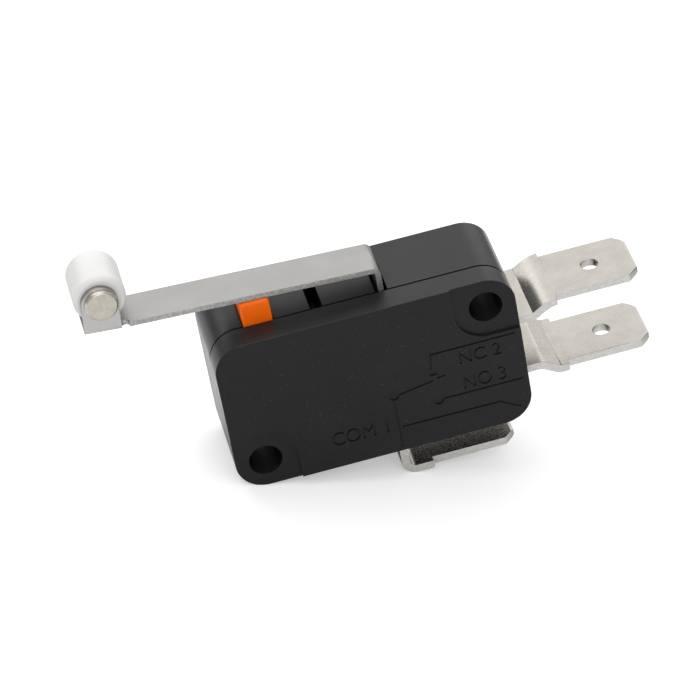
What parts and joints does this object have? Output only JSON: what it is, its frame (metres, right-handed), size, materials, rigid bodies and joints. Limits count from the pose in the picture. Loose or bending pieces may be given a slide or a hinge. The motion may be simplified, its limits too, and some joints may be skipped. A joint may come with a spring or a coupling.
{
  "type": "lever micro switch",
  "caption": "Miniature snap-action switch with a hinge roller lever, a sprung plunger, push-on tab terminals and a bolt-through moulded body.",
  "frame": {"origin": "midway between the axes of the two mounting holes, on the rear mounting face", "axes": "+X along the body towards the two side terminals; +Z the way the plunger stands out; the front cover faces -Y and the rear mounting face faces +Y"},
  "size_m": [0.0506, 0.0103, 0.0285],
  "materials": {
    "body_plastic": "moulded, matte",
    "plunger_plastic": "moulded, satin",
    "lever_steel": "rolled, satin, sheared edges",
    "roller_plastic": "turned, smooth",
    "pin_steel": "nickel-plated, satin",
    "terminal_metal": "tin-plated, satin",
    "contact_silver": "silver alloy, smooth",
    "arm_copper": "rolled copper alloy",
    "spring_steel": "bright drawn wire"
  },
  "bodies": {
    "housing": {"case": "body_plastic", "cover": "body_plastic", "com_terminal": "terminal_metal", "nc_terminal": "terminal_metal", "no_terminal": "terminal_metal", "nc_contact": "contact_silver", "no_contact": "contact_silver", "return_spring": "spring_steel"},
    "lever": {"lever": "lever_steel", "roller_pin": "pin_steel"},
    "roller": {"roller": "roller_plastic"},
    "plunger": {"plunger": "plunger_plastic"},
    "contact_arm": {"contact_arm": "arm_copper", "moving_contact": "contact_silver"},
    "snap_spring": {"snap_spring": "spring_steel"}
  },
  "joints": [
    {"name": "lever_swing", "type": "hinge", "parent": "housing", "child": "lever", "pos_m": [0.00245, -0.0052, 0.0062], "axis": [0, -1, 0], "range_deg": [0, 8], "stiffness_Nm_per_rad": 0.08, "springref_deg": -6.88},
    {"name": "plunger_slide", "type": "slide", "parent": "housing", "child": "plunger", "axis": [0, 0, -1], "range_m": [0, 0.0017], "deforming": ["return_spring"]},
    {"name": "contact_arm_swing", "type": "hinge", "parent": "housing", "child": "contact_arm", "pos_m": [0.00168, -0.00515, -0.00028], "axis": [0, -1, 0], "range_deg": [-9.6, 0]},
    {"name": "snap_spring_pivot", "type": "hinge", "parent": "contact_arm", "child": "snap_spring", "pos_m": [0.00656, -0.00515, 0.00013], "axis": [0, -1, 0], "range_deg": [0, 14]},
    {"name": "roller_spin", "type": "hinge", "parent": "lever", "child": "roller", "pos_m": [-0.02219, -0.0046, 0.01426], "axis": [0, -1, 0], "continuous": true}
  ],
  "couplings": [
    {"joint": "plunger_slide", "follows": "lever_swing", "m_per_rad": 0.01167},
    {"joint": "contact_arm_swing", "follows": "lever_swing", "ratio": -1.1987},
    {"joint": "snap_spring_pivot", "follows": "lever_swing", "ratio": 1.748}
  ]
}
